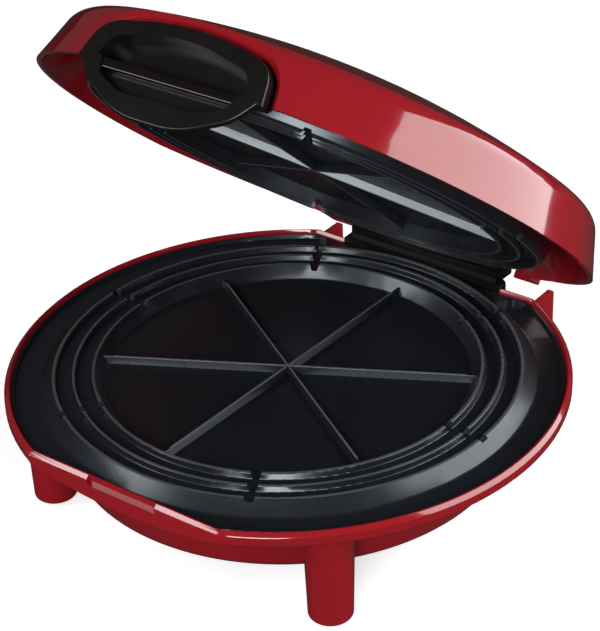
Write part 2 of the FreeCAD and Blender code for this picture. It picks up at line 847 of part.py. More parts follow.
def lid_form(inset):
    """Filled dome drawn in by inset: a leaning wall, a round shoulder and a shallow crown."""
    rim = vec(lid_rim_radius, 0, lid_rim_z)
    wall_top = vec(lid_wall_top_radius, 0, upper_tip_z + lid_wall_top)
    up = wall_top.sub(rim).normalize()
    inward = vec(-up.z, 0, up.x)
    crown = upper_tip_z + lid_crown
    dome_centre = vec(0, 0, crown - lid_crown_radius)
    start = rim.add(Vector(inward).multiply(lid_shoulder_round)).sub(dome_centre)
    along = start.dot(up)
    spread = (lid_crown_radius - lid_shoulder_round) ** 2 - start.dot(start)
    run = -along + math.sqrt(along ** 2 + spread)
    shoulder = dome_centre.add(start).add(Vector(up).multiply(run))
    to_dome = shoulder.sub(dome_centre).normalize()
    between = to_dome.sub(inward).normalize()
    radius = lid_shoulder_round - inset
    wall_end = shoulder.sub(Vector(inward).multiply(radius))
    dome_start = shoulder.add(Vector(to_dome).multiply(radius))
    dome_reach = lid_crown_radius - inset
    half_turn = math.asin(dome_start.x / dome_reach) / 2
    dome_middle = dome_centre.add(vec(math.sin(half_turn), 0, math.cos(half_turn)).multiply(dome_reach))
    top = vec(0, 0, crown - inset)
    low_z = rim.z - (5.0 if inset else 0.0)
    foot = wall_end.add(Vector(up).multiply((low_z - wall_end.z) / up.z))
    profile = Part.Wire([
        Part.LineSegment(vec(0, 0, low_z), foot).toShape(),
        Part.LineSegment(foot, wall_end).toShape(),
        Part.Arc(wall_end, shoulder.add(Vector(between).multiply(radius)), dome_start).toShape(),
        Part.Arc(dome_start, dome_middle, top).toShape(),
        Part.LineSegment(top, vec(0, 0, low_z)).toShape(),
    ])
    form = Part.Face(profile).revolve(vec(0, 0, 0), vec(0, 0, 1), 360)
    front = -lid_front_y + inset
    lean = lid_front_lean / (lid_wall_top + 6.0)
    trim = prism_x([
        (front - lean * 6.0, lid_rim_z - 6.0),
        (FAR, lid_rim_z - 6.0),
        (FAR, crown + 5),
        (front + lean * (crown + 5 - lid_rim_z), crown + 5),
    ], -FAR, FAR)
    return form.common(trim)


def tail_form(inset):
    """Box at the lid's back that houses the hinge."""
    half = tail_half_width - inset
    low = lid_rim_z + lid_rear_cut_rise - (inset and 6.0)
    back = tail_back_y - inset
    front = hinge_y - tail_root
    top = upper_tip_z + tail_top - inset
    side = prism_x([
        (front, low), (back, low), (back - tail_lean, top, tail_round - inset), (front, top),
    ], -half, half)
    corner = tail_corner_round - inset
    plan = prism_z([
        (-half, front - 10), (half, front - 10), (half, back, corner), (-half, back, corner),
    ], low - 1, top + 1)
    return side.common(plan)


def arch_outline(form, grow):
    """Upper half of the handle's oval, standing on the line z = 0 and grown outwards."""
    half, lean, side, peak, corner, crown = form
    wide = half + grow
    return [
        (-wide, 0.0), (wide, 0.0), (wide - lean, side + grow, corner + grow),
        (0.0, peak + grow, crown + grow), (lean - wide, side + grow, corner + grow),
    ]


def arch_tool():
    """Cutter for the opening round the handle, wider at its front."""
    def wire(grow, y):
        points = with_radius(arch_outline(arch_form, handle_arch_gap + grow))
        return Part.Wire(rounded_edges(points, lambda p: Vector(p.x, y, p.y)))
    near = handle_stand - arch_flare_depth
    far = handle_stand + arch_flare_depth
    mouth = Part.makeLoft([wire(2 * arch_flare, near), wire(0.0, far)], True)
    throat = prism_y(arch_outline(arch_form, handle_arch_gap), far, lid_front_y / 4)
    return handle_place(mouth.fuse(throat))


def lid_shell():
    outer = lid_form(0.0)
    inner = lid_form(lid_wall)
    tail = tail_form(0.0)
    tail_inner = tail_form(lid_wall)
    body = fused([outer, tail])
    shell = body.cut(inner.fuse(tail_inner))
    rim = lid_rim_z
    rise = lid_rear_cut_rise
    rear_cut = prism_x([
        (lid_rear_cut_start, rim - 8), (lid_rear_cut_start, rim), (lid_rear_cut_end, rim + rise),
        (tail_back_y + 20, rim + rise), (tail_back_y + 20, rim - 8),
    ], -FAR, FAR)
    notch_half = bracket_half_width + hinge_notch_gap
    notch = box(-notch_half, notch_half, hinge_cover_y - hinge_notch_reach, tail_back_y + 20,
                rim - 20, upper_tip_z + hinge_notch_top)
    opening = arch_form[0] + handle_arch_gap
    under_arch = box(-opening, opening, -lid_front_y - 10, -lid_front_y * 0.8, rim - 10, upper_tip_z + 0.01)
    shell = shell.cut([rear_cut, notch, arch_tool(), under_arch])
    lug_top = upper_tip_z + lug_bottom + lug_thickness
    posts = []
    for angle in lug_angles:
        posts.append(cylinder(post_radius, FAR, polar(lug_radius, angle, lug_top)).common(body))
    for x in (-lid_screw_x, lid_screw_x):
        posts.append(cylinder(post_radius, FAR, (x, hinge_y, lid_bracket_top_z())).common(body))
    ear_z = upper_tip_z + ear_height
    for side in (-1, 1):
        reach = box(side * ear_x - ear_half, side * ear_x + ear_half, -FAR, ear_face_y(),
                    ear_z - ear_half, ear_z + ear_half)
        posts.append(reach.common(body))
    shell = fused([shell] + posts)
    holes = []
    for angle in lug_angles:
        holes.append(cylinder(screw_radius + screw_gap, screw_bite + 5, polar(lug_radius, angle, lug_top - 1)))
    for x in (-lid_screw_x, lid_screw_x):
        holes.append(cylinder(screw_radius + screw_gap, screw_bite + 1, (x, hinge_y, lid_bracket_top_z() - 1)))
    for side in (-1, 1):
        spot = (side * ear_x, ear_face_y() + 1, ear_z)
        holes.append(cylinder(screw_radius + screw_gap, screw_bite + 1.5, spot, (0, -1, 0)))
    return shell.cut(holes)


def lid_bracket_top_z():
    return upper_tip_z + tail_top - lid_wall - bracket_pad


def ear_face_y():
    """Plane on which the handle's ears are screwed, inside the lid's front wall."""
    return -(lid_front_y - lid_wall - ear_setback)


def upper_plate():
    tip = upper_tip_z
    skirt = upper_plate_radius
    centre = plate_face(1, tip, upper_back_z, [
        (skirt - upper_plate_draft, tip + upper_edge_height, 1.0),
        (skirt, tip + upper_plate_height),
        (skirt - upper_skirt_wall, tip + upper_plate_height),
        (skirt - upper_skirt_wall, upper_back_z),
    ])
    low = tip + lug_bottom
    lugs = []
    for angle in lug_angles:
        lug = box(skirt - upper_skirt_wall / 2, lug_radius, -lug_width / 2, lug_width / 2, low, low + lug_thickness)
        lug = lug.fuse(cylinder(lug_width / 2, lug_thickness, (lug_radius, 0, low)))
        lugs.append(turned(lug.cut(cylinder(screw_radius + screw_gap, 20, (lug_radius, 0, tip))), angle))
    plate = fused([centre] + lugs)
    holes = []
    for angle in clip_angles + shield_screw_angles:
        radius = element_radius + clip_screw_offset if angle in clip_angles else shield_screw_radius()
        low = upper_back_z + 1 - plate_thickness
        holes.append(cylinder(screw_radius + screw_gap, plate_thickness, polar(radius, angle, low)))
    return plate.cut(holes)


def upper_plate_screws():
    piece = screw(lug_thickness + screw_bite + 2.0)
    return [moved(piece, *polar(lug_radius, angle, upper_tip_z + lug_bottom)) for angle in lug_angles]


# ---- handle ----


def handle_place(shape):
    """Lean the handle back and put it on the lid's front."""
    return moved(turned(shape, -handle_lean, axis=(1, 0, 0)), 0, -handle_face_y, upper_tip_z)


def chin_outline():
    """Lower half of the handle's oval, hanging from the line z = 0."""
    half, depth = chin_size
    tuck, waist = chin_waist
    side, floor = chin_rounds
    return [
        (half, 0.0), (-half, 0.0), (tuck - half, -waist, side),
        (-chin_floor_half, -depth, floor), (chin_floor_half, -depth, floor), (half - tuck, -waist, side),
    ]


def low_pocket_outline(grow):
    """Finger space under the grip bar, grown outwards."""
    half, depth = pocket_lower
    wide = half + grow
    low = depth + grow
    return [
        (wide, bar_high + 0.01), (-wide, bar_high + 0.01), (3.0 - wide, -low / 2, 6.0),
        (-wide * 0.55, -low, 12.0), (wide * 0.55, -low, 12.0), (wide - 3.0, -low / 2, 6.0),
    ]


def bar_form(grow):
    """Grip bar across the oval, before it is leaned back."""
    low, high = bar_low - grow, bar_high + grow
    front, back = bar_face_depth - grow, bar_back_depth + grow
    half = bar_half_length + grow
    bar = prism_x([(front, low, 1.2), (back, low, 0.6), (back, high, 0.6), (front, high, 1.2)], -half, half)
    return bar


def handle_frame():
    upper = prism_y(arch_outline(arch_form, 0.0), 0, handle_rim_depth + 3)
    rim = upper.fuse(prism_y(chin_outline(), 0, chin_thickness)).removeSplitter()
    front_edges = [e for e in rim.Edges if e.BoundBox.YMax < 0.01]
    rim = rim.makeFillet(handle_edge_round, front_edges)
    wall = pocket_pan_wall
    pan = prism_y(arch_outline(pocket_upper, wall), 0, pocket_upper_depth + wall)
    low_pan = prism_y(low_pocket_outline(wall), 0, pocket_lower_depth + wall)
    frame = rim.fuse(pan).fuse(low_pan).removeSplitter()
    top_pocket = prism_y(arch_outline(pocket_upper, 0.0), -1, pocket_upper_depth)
    top_pocket = top_pocket.common(box(-FAR, FAR, -5, FAR, bar_high, FAR))
    low_pocket = prism_y(low_pocket_outline(0.0), -1, pocket_lower_depth)
    frame = frame.cut([top_pocket, low_pocket, bar_form(bar_seat_gap)])
    frame = handle_place(frame)
    frame = frame.cut(box(-FAR, FAR, -handle_back_y, FAR, 0, upper_tip_z + 0.6))
    catch_low = rim_top_z - recess_height + catch_gap
    catch_end = -front_flat_y + recess_depth - catch_gap
    catch = box(-catch_half_width, catch_half_width, -handle_back_y - 2.6, catch_end,
                catch_low, rim_top_z - catch_gap - rim_edge_drop)
    ears = []
    y = ear_face_y() + seat_gap
    z = upper_tip_z + ear_height
    for side in (-1, 1):
        near, far = between(side * (pocket_upper[0] + wall), side * (ear_x + ear_half))
        ear = box(near, far, y, y + ear_thickness, z - ear_half, z + ear_half)
        near, far = between(side * (pocket_upper[0] + wall + 1), side * (pocket_upper[0] + wall + 1 + ear_web))
        web = box(near, far, -handle_face_y + handle_rim_depth, y + ear_thickness, z - ear_half, z + ear_half)
        hole = cylinder(screw_radius + screw_gap, 20, (side * ear_x, y + 10, z), (0, -1, 0))
        ears.append(ear.fuse(web).cut(hole))
    return fused([frame, catch] + ears)


def handle_bar():
    return handle_place(bar_form(0.0))


def handle_screws():
    piece = turned(screw(ear_thickness + screw_bite), 90, axis=(1, 0, 0))
    y = ear_face_y() + seat_gap + ear_thickness
    return [moved(piece, side * ear_x, y, upper_tip_z + ear_height) for side in (-1, 1)]


# ---- hinge ----


def both_sides(shape):
    return [shape, mirrored_x(shape)]


def hinge_base_bracket():
    """Angle piece over the dish's rear rim, with a block and two lugs that hold the pin."""
    back = rear_flat_y + seat_gap
    plate_back = back + bracket_plate_thickness
    seat_low = rim_top_z + seat_gap
    seat_top = seat_low + bracket_seat_height
    low = flange_knee_z + 0.5
    half = bracket_half_width
    plate = box(-half + 2, half - 2, back, plate_back, low, seat_top)
    well_y = rear_flat_y - rim_width
    crest_y = well_y + rim_inner_slope
    seat = box(-half, half, well_y, plate_back, seat_low, seat_top)
    lip = prism_x([
        (well_y, rim_top_z - rim_inner_drop + bracket_lip_gap), (crest_y, rim_top_z + bracket_lip_gap),
        (crest_y, seat_top), (well_y, seat_top),
    ], -half, half)
    shoulder = box(-half, half, back, plate_back, seat_low - 6.0, seat_top)
    corners = prism_y([
        (-half, 0.0), (half, 0.0), (half, seat_top, bracket_corner_round), (-half, seat_top, bracket_corner_round),
    ], 0.0, FAR)
    angle_piece = fused([plate, seat, lip, shoulder]).common(corners)
    outer = base_knuckle[1]
    block = box(-outer, outer, block_front_y(), hinge_block_back_y, seat_top - 1.5, hinge_block_top_z)
    bracket = fused([angle_piece, block] + both_sides(base_arm(seat_low)))
    bore = cylinder(pin_radius + pin_fit, 2 * FAR, (-FAR, hinge_y, hinge_z), (1, 0, 0))
    screws = [
        cylinder(screw_radius + screw_gap, 20, (x, back - 5, hinge_screw_z), (0, 1, 0))
        for x in (-hinge_screw_x, hinge_screw_x)
    ]
    return bracket.cut([bore] + screws)


def block_front_y():
    """Front of the hinge block, just behind the lid's cover."""
    return hinge_cover_y + 0.6


def base_arm(low_z):
    """Lug that holds one end of the pin."""
    low, high = base_knuckle
    back = hinge_y + arm_reach
    arm = prism_x([
        (block_front_y(), low_z + 1.0), (back, low_z, 1.0), (back, low_z + arm_back_height, 2.0),
        (hinge_y + knuckle_radius - 2.0, hinge_z), (hinge_y, hinge_z),
        (block_front_y() + 1.0, hinge_block_top_z - 1.0),
    ], low, high)
    return arm.fuse(cylinder(knuckle_radius, high - low, (low, hinge_y, hinge_z), (1, 0, 0)))


def hinge_lid_bracket():
    """Bracket under the lid's tail: cover, beam, two knuckles that turn on the pin, and stop heels."""
    low, high = lid_knuckle
    half = base_knuckle[1]
    top = lid_bracket_top_z() - seat_gap
    arm = box(low, high, hinge_y - 4, hinge_y + knuckle_radius, hinge_z, top - 2)
    arm = arm.fuse(cylinder(knuckle_radius, high - low, (low, hinge_y, hinge_z), (1, 0, 0)))
    heel_low = hinge_z + stop_offset()
    heel = box(low, high, hinge_y, hinge_y + heel_reach, heel_low, heel_low + heel_thickness)
    beam = box(-half, half, hinge_cover_y, hinge_y + beam_front_reach, beam_low_z, top)
    back_beam = box(-high, high, hinge_y, hinge_y + beam_back_reach, beam_low_z, top)
    cover = box(-half, half, hinge_cover_y, hinge_cover_y + cover_thickness, beam_low_z - cover_drop, beam_low_z + 4)
    bracket = fused([beam, back_beam, cover] + both_sides(arm) + both_sides(heel))
    bore = cylinder(pin_radius + pin_running_gap, 2 * FAR, (-FAR, hinge_y, hinge_z), (1, 0, 0))
    holes = [
        cylinder(screw_radius + screw_gap, 30, (x, hinge_y, beam_low_z - 2)) for x in (-lid_screw_x, lid_screw_x)
    ]
    return bracket.cut([bore] + holes)


def stop_offset():
    """Height of the heel's lower face above the hinge, so that it meets the block at full opening."""
    angle = math.radians(hinge_max_angle)
    across = hinge_block_back_y + stop_gap - hinge_y
    return (across - heel_reach * math.cos(angle)) / math.sin(angle)


def hinge_pin():
    end = base_knuckle[1]
    rod = cylinder(pin_radius, 2 * end + 3.0, (-end, hinge_y, hinge_z), (1, 0, 0))
    head = cylinder(pin_radius + 1.6, 1.8, (-end - 1.8, hinge_y, hinge_z), (1, 0, 0))
    groove = cylinder(pin_radius + 1, 0.9, (end + 0.6, hinge_y, hinge_z), (1, 0, 0))
    core = cylinder(pin_radius - 0.6, 0.9, (end + 0.6, hinge_y, hinge_z), (1, 0, 0))
    return fused([rod, head]).cut(groove.cut(core))


def hinge_pin_clip():
    end = base_knuckle[1]
    ring = cylinder(pin_radius + 1.8, 0.7, (end + 0.7, hinge_y, hinge_z), (1, 0, 0))
    hole = cylinder(pin_radius - 0.55, 2, (end, hinge_y, hinge_z), (1, 0, 0))
    mouth = box(end, end + 3, hinge_y - 1.4, hinge_y + 1.4, hinge_z - 10, hinge_z)
    return ring.cut([hole, mouth])


def hinge_base_screws():
    piece = turned(screw(bracket_plate_thickness + seat_gap + screw_bite), 90, axis=(1, 0, 0))
    y = rear_flat_y + seat_gap + bracket_plate_thickness
    return [moved(piece, x, y, hinge_screw_z) for x in (-hinge_screw_x, hinge_screw_x)]


def hinge_lid_screws():
    piece = screw(lid_bracket_top_z() - beam_low_z + screw_bite - 1.5)
    return [moved(piece, x, hinge_y, beam_low_z) for x in (-lid_screw_x, lid_screw_x)]


# ---- assembly ----


def base_nodes():
    dish = base_outer()
    nodes = {
        "base_shell": base_shell(),
        "lower_plate": lower_plate(),
        "foot_pads": foot_pads(),
        "foot_screws": foot_screws(),
        "lower_plate_screws": lower_plate_screws(),
        "lower_element": element(plate_under_z - element_tube_radius - seat_gap, -1),
        "lower_element_clips": clips(plate_under_z - 2 * element_tube_radius - 2 * seat_gap - clip_thickness),
        "lower_clip_screws": clip_screws(
            plate_under_z - 2 * element_tube_radius - 2 * seat_gap - clip_thickness, True),
        "lower_heat_shield": shield(plate_under_z, -1),
        "lower_shield_screws": shield_screws(plate_under_z - seat_gap - shield_sheet, True),
        "base_thermostat": thermostat(plate_under_z, -1),
        "thermal_fuse": thermal_fuse(),
        "terminal_block": terminal_block(),
        "inlet_bushing": inlet_bushing(),
        "hinge_base_bracket": hinge_base_bracket(),
        "hinge_base_screws": hinge_base_screws(),
        "hinge_pin": hinge_pin(),
        "hinge_pin_clip": hinge_pin_clip(),
    }
    for name, spot in leg_spots().items():
        nodes["foot_" + name] = leg(spot, dish)
    return nodes


def lid_nodes():
    return {
        "lid_shell": lid_shell(),
        "upper_plate": upper_plate(),
        "upper_plate_screws": upper_plate_screws(),
        "upper_element": element(upper_back_z + element_tube_radius + seat_gap, 1),
        "upper_element_clips": clips(upper_back_z + 2 * element_tube_radius + 2 * seat_gap),
        "upper_clip_screws": clip_screws(
            upper_back_z + 2 * element_tube_radius + 2 * seat_gap + clip_thickness, False),
        "upper_heat_shield": shield(upper_back_z, 1),
        "upper_shield_screws": shield_screws(upper_back_z + seat_gap + shield_sheet, False),
        "upper_thermostat": thermostat(upper_back_z, 1),
        "handle_frame": handle_frame(),
        "handle_bar": handle_bar(),
        "handle_screws": handle_screws(),
        "hinge_lid_bracket": hinge_lid_bracket(),
        "hinge_lid_screws": hinge_lid_screws(),
    }


def save(name, shape, opened):
    """Place one node and write it as STEP."""
    solids = shape if isinstance(shape, list) else [shape]
    whole = Part.makeCompound(solids) if len(solids) > 1 else solids[0]
    if opened:
        whole = turned(whole, -lid_open_angle, (0, hinge_y, hinge_z), (1, 0, 0))
    whole = moved(whole, 0, -origin_behind_axis, 0)
    whole.exportStep(os.path.join("parts", name + ".step"))
    limits = whole.optimalBoundingBox()
    print(name, "solids", len(whole.Solids), "valid", whole.isValid(), "volume", round(whole.Volume / 1000, 2),
          "y", round(limits.YMin, 1), round(limits.YMax, 1), "z", round(limits.ZMin, 1), round(limits.ZMax, 1))
    return limits


def main():
    os.makedirs("parts", exist_ok=True)
    total = FreeCAD.BoundBox()
    for name, shape in base_nodes().items():
        total.add(save(name, shape, False))
    for name, shape in lid_nodes().items():
        total.add(save(name, shape, True))
    print("whole object", total)


main()
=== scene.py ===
import json
import math

import bmesh
import bpy
import numpy as np
from mathutils import Matrix, Vector

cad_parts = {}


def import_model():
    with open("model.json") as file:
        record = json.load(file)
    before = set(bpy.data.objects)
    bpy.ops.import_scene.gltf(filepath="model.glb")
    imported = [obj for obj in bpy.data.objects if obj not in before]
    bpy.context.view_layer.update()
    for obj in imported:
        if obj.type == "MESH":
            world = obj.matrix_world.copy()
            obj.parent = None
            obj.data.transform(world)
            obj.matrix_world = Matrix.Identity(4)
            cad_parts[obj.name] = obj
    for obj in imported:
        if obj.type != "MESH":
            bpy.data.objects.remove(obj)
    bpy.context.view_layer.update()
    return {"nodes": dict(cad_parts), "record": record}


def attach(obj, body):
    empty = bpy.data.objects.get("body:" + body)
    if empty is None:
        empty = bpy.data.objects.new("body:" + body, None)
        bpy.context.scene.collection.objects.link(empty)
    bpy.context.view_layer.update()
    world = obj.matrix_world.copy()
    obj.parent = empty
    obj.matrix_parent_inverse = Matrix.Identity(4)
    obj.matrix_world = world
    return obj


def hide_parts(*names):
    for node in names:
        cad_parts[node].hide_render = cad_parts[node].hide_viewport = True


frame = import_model()
nodes = frame["nodes"]

# ---- shared ----


def link(name, data):
    thing = bpy.data.objects.new(name, data)
    bpy.context.scene.collection.objects.link(thing)
    return thing


def standing(right, up, back, spot):
    """The place of a camera or lamp at spot, from its own three directions."""
    return Matrix((*zip(right, up, back, spot), (0.0, 0.0, 0.0, 1.0)))


# ---- camera ----

# Metres and degrees; the lens and its sensor are in millimetres.
AIM = Vector((0.009105, -0.00973, 0.101343))
TURN = math.radians(37.215)
HEIGHT = math.radians(31.101)
ROLL = math.radians(-2.026)
DISTANCE = 1.114451
LENS = 119.92
SENSOR = 36.0
NEAREST = 0.05
FARTHEST = 50.0


def place_camera():
    level = math.cos(HEIGHT)
    back = Vector((math.sin(TURN) * level, -math.cos(TURN) * level, math.sin(HEIGHT)))
    right = Vector((math.cos(TURN), math.sin(TURN), 0.0))
    up = back.cross(right)
    right_rolled = right * math.cos(ROLL) + up * math.sin(ROLL)
    up_rolled = up * math.cos(ROLL) - right * math.sin(ROLL)
    data = bpy.data.cameras.new("camera")
    data.lens = LENS
    data.sensor_width = SENSOR
    data.sensor_fit = "AUTO"
    data.clip_start = NEAREST
    data.clip_end = FARTHEST
    camera = link("camera", data)
    camera.matrix_world = standing(right_rolled, up_rolled, back, AIM + back * DISTANCE)
    bpy.context.scene.camera = camera


place_camera()

# ---- shader writing ----


class Value:
    """A shader socket that takes part in arithmetic."""

    def __init__(self, finish, socket):
        self.finish = finish
        self.socket = socket

    def _maths(self, operation, first, second):
        return self.finish.node("ShaderNodeMath", {"operation": operation}, {0: first, 1: second})

    def __add__(self, other):
        return self._maths("ADD", self, other)

    __radd__ = __add__

    def __sub__(self, other):
        return self._maths("SUBTRACT", self, other)

    def __rsub__(self, other):
        return self._maths("SUBTRACT", other, self)

    def __mul__(self, other):
        return self._maths("MULTIPLY", self, other)

    __rmul__ = __mul__

    def __pow__(self, other):
        return self._maths("POWER", self, other)

    def __rpow__(self, other):
        return self._maths("POWER", other, self)


class Finish:
    """One material, written as node expressions."""

    def __init__(self, name):
        self.material = bpy.data.materials.new(name)
        self.material.use_nodes = True
        self.tree = self.material.node_tree
        self.tree.nodes.clear()
        self.place = self.node("ShaderNodeTexCoord", output="Object")

    def node(self, kind, settings=None, inputs=None, output=0):
        """Adds a node: its settings first, then values or links for its sockets."""
        made = self.tree.nodes.new(kind)
        for key, value in (settings or {}).items():
            setattr(made, key, value)
        for key, value in (inputs or {}).items():
            if isinstance(value, Value):
                self.tree.links.new(value.socket, made.inputs[key])
            else:
                made.inputs[key].default_value = value
        return Value(self, made.outputs[output])

    def noise(self, scale, detail=3.0, roughness=0.5, place=None):
        return self.node("ShaderNodeTexNoise", None, {
            "Vector": place or self.place, "Scale": scale, "Detail": detail, "Roughness": roughness,
        }, "Fac")

    def stretched(self, x, y, z):
        return self.node("ShaderNodeMapping", None, {"Vector": self.place, "Scale": (x, y, z)})

    def between(self, value, low, high):
        """Maps a 0 to 1 value onto low to high, with its middle half stretched."""
        return self.node("ShaderNodeMapRange", {"clamp": True}, {
            "Value": value, "From Min": 0.25, "From Max": 0.75, "To Min": low, "To Max": high,
        })

    def step(self, value, start, end):
        """0 before start and 1 after end, with a soft change between them."""
        return self.node("ShaderNodeMapRange", {"interpolation_type": "SMOOTHSTEP"}, {
            "Value": value, "From Min": start, "From Max": end, "To Min": 0.0, "To Max": 1.0,
        })

    def colours(self, factor, first, second):
        """Mixes two colours, each of them three numbers or another node's colour."""
        first, second = (each if isinstance(each, Value) else (*each, 1.0) for each in (first, second))
        return self.node("ShaderNodeMix", {"data_type": "RGBA"}, {"Factor": factor, 6: first, 7: second}, 2)

    def bump(self, height, strength, distance):
        return self.node("ShaderNodeBump", None, {
            "Height": height, "Strength": strength, "Distance": distance,
        })

    def surface(self, inputs):
        """Ends the material in one Principled surface."""
        return self.end(self.node("ShaderNodeBsdfPrincipled", None, inputs))

    def end(self, shader):
        out = self.tree.nodes.new("ShaderNodeOutputMaterial")
        self.tree.links.new(shader.socket, out.inputs["Surface"])
        return self.material


# How deep a fine grain goes, in metres.
GRAIN_DEPTH = 0.0002
RUBBER_DEPTH = 0.0003

# Painted highlight on the two plates: heights below the crowns of the rings, and distances from the middle,
# in metres.
# The last two are how strong the painted highlight is on the ring crowns beside the ridges, and how much
# glossier it makes them.
CROWN_FOOT = -0.00035
CROWN_TOP = -0.00004
RINGS_END = 0.1295
RINGS_FADE = 0.127
RIDGE_FOOT = -0.0037
RIDGE_TOP = -0.00343
RIDGES_END = 0.097
RIDGES_FADE = 0.096
CROWN_HIGHLIGHT = 0.62
HIGHLIGHT_GLOSS = 0.05


def glossy_red():
    finish = Finish("glossy_red")
    clouds = finish.noise(9.0, 2.0)
    grain = finish.noise(420.0, 2.0)
    smears = finish.noise(26.0, 5.0, 0.6, finish.stretched(1.0, 1.0, 3.0))
    colour = finish.colours(clouds, (0.33, 0.0085, 0.0145), (0.37, 0.011, 0.0185))
    return finish.surface({
        "Base Color": colour,
        "Roughness": finish.between(smears, 0.09, 0.15),
        "IOR": 1.5,
        "Coat Weight": finish.between(smears, 1.0, 0.85),
        "Coat Roughness": 0.03,
        "Normal": finish.bump(grain, 0.02, GRAIN_DEPTH),
    })


def plate_coating(name, up, turn, shift):
    """Non-stick coating, with a painted highlight: paler grey along the crowns of the rings and ridges.

    turn and shift lay the plate level, with its middle at the origin and the ring crowns at height 0.
    up is 1 where the rings stand upwards in that place and -1 where they hang.
    """
    finish = Finish(name)
    speckle = finish.noise(1900.0, 2.0)
    patches = finish.noise(18.0, 4.0)
    # Noise that breaks up the painted highlight along the crests.
    highlight_breakup = finish.between(finish.noise(60.0, 4.0, 0.6), 0.65, 1.0)
    flat = finish.node("ShaderNodeMapping", None, {
        "Vector": finish.place, "Rotation": (turn, 0.0, 0.0), "Location": shift,
    })
    across, ahead, rise = (
        finish.node("ShaderNodeSeparateXYZ", None, {"Vector": flat}, axis) for axis in "XYZ")
    height = rise * up
    radius = (across * across + ahead * ahead) ** 0.5
    # Painted highlight: the ring crowns and ridge tops are mixed towards a pale grey and made glossier.
    crowns = finish.step(height, CROWN_FOOT, CROWN_TOP) * finish.step(radius, RINGS_END, RINGS_FADE)
    ridges = finish.step(height, RIDGE_FOOT, RIDGE_TOP) * finish.step(radius, RIDGES_END, RIDGES_FADE)
    highlit_crests = finish.node("ShaderNodeMath", {"operation": "MAXIMUM"}, {0: crowns * CROWN_HIGHLIGHT, 1: ridges})
    painted_highlight = highlit_crests * highlight_breakup
    coating = finish.colours(
        finish.between(speckle, 0.0, 1.0), (0.0068, 0.0078, 0.0098), (0.0138, 0.0158, 0.0198))
    return finish.surface({
        "Base Color": finish.colours(painted_highlight, coating, (0.135, 0.145, 0.16)),
        "Roughness": finish.between(patches, 0.24, 0.31) - painted_highlight * HIGHLIGHT_GLOSS,
        "IOR": 1.65,
        "Specular Tint": (0.84, 0.92, 1.0, 1.0),
        "Normal": finish.bump(speckle, 0.14, GRAIN_DEPTH),
    })


def black_moulding():
    finish = Finish("black_moulding")
    grain = finish.noise(700.0, 2.0)
    smears = finish.noise(34.0, 4.0)
    colour = finish.colours(smears, (0.0068, 0.0062, 0.0055), (0.0092, 0.0085, 0.0076))
    return finish.surface({
        "Base Color": colour,
        "Roughness": finish.between(smears, 0.2, 0.28),
        "IOR": 1.4,
        "Normal": finish.bump(grain, 0.03, GRAIN_DEPTH),
    })


def metal(name, dark, light, rough, scale):
    """A bare metal with fine scratches."""
    finish = Finish(name)
    scratches = finish.noise(scale, 4.0, 0.6, finish.stretched(1.0, 9.0, 1.0))
    return finish.surface({
        "Base Color": finish.colours(scratches, dark, light),
        "Metallic": 1.0,
        "Roughness": finish.between(scratches, *rough),
        "Normal": finish.bump(scratches, 0.08, GRAIN_DEPTH),
    })


def moulded(name, dark, light, rough, relief, scale=800.0, detail=3.0, depth=GRAIN_DEPTH):
    """A plastic, rubber or ceramic with one fine grain."""
    finish = Finish(name)
    grain = finish.noise(scale, detail)
    return finish.surface({
        "Base Color": finish.colours(grain, dark, light),
        "Roughness": finish.between(grain, *rough),
        "Normal": finish.bump(grain, relief, depth),
    })


# The lid stands open at rest by as much as it can still close.
joint = frame["record"]["behaviour"]["joints"][0]
HINGE = Vector(joint["pos_m"])
OPEN = math.radians(-joint["range_deg"][0])

# The middle of each plate, level with its ring crowns: the upper one's from the hinge, lid closed.
LOWER_CREST = Vector((0.0, -0.0101, 0.0707))
UPPER_CREST = Vector((0.0, -0.141, -0.0133))

RED = glossy_red()
LOWER_COATING = plate_coating("lower_coating", 1.0, 0.0, -LOWER_CREST)
UPPER_COATING = plate_coating(
    "upper_coating", -1.0, OPEN, -(Matrix.Rotation(OPEN, 3, "X") @ HINGE) - UPPER_CREST)
BLACK = black_moulding()
BAR = moulded(
    "bar_moulding", (0.0045, 0.002, 0.0017), (0.007, 0.0034, 0.0028),
    rough=(0.2, 0.27), relief=0.05, scale=900.0, detail=2.0)
RUBBER = moulded(
    "pad_rubber", (0.012, 0.012, 0.012), (0.03, 0.03, 0.03),
    rough=(0.7, 0.9), relief=0.3, scale=1300.0, depth=RUBBER_DEPTH)
PHENOLIC = moulded(
    "brown_phenolic", (0.02, 0.014, 0.011), (0.04, 0.03, 0.024), rough=(0.49, 0.61), relief=0.15)
CERAMIC = moulded(
    "white_block", (0.7, 0.68, 0.62), (0.8, 0.78, 0.72), rough=(0.44, 0.56), relief=0.15)
ZINC = metal("zinc_plated_steel", (0.42, 0.42, 0.43), (0.6, 0.6, 0.6), rough=(0.25, 0.4), scale=400.0)
PIN = metal("turned_steel", (0.36, 0.36, 0.37), (0.52, 0.52, 0.53), rough=(0.2, 0.34), scale=500.0)
ELEMENT = metal("oxidised_tube", (0.10, 0.095, 0.09), (0.19, 0.17, 0.16), rough=(0.4, 0.6), scale=300.0)
SHEET = metal("aluminised_sheet", (0.5, 0.5, 0.5), (0.68, 0.68, 0.67), rough=(0.3, 0.45), scale=150.0)
BRASS = metal("plain_brass", (0.5, 0.36, 0.14), (0.66, 0.5, 0.22), rough=(0.25, 0.4), scale=400.0)

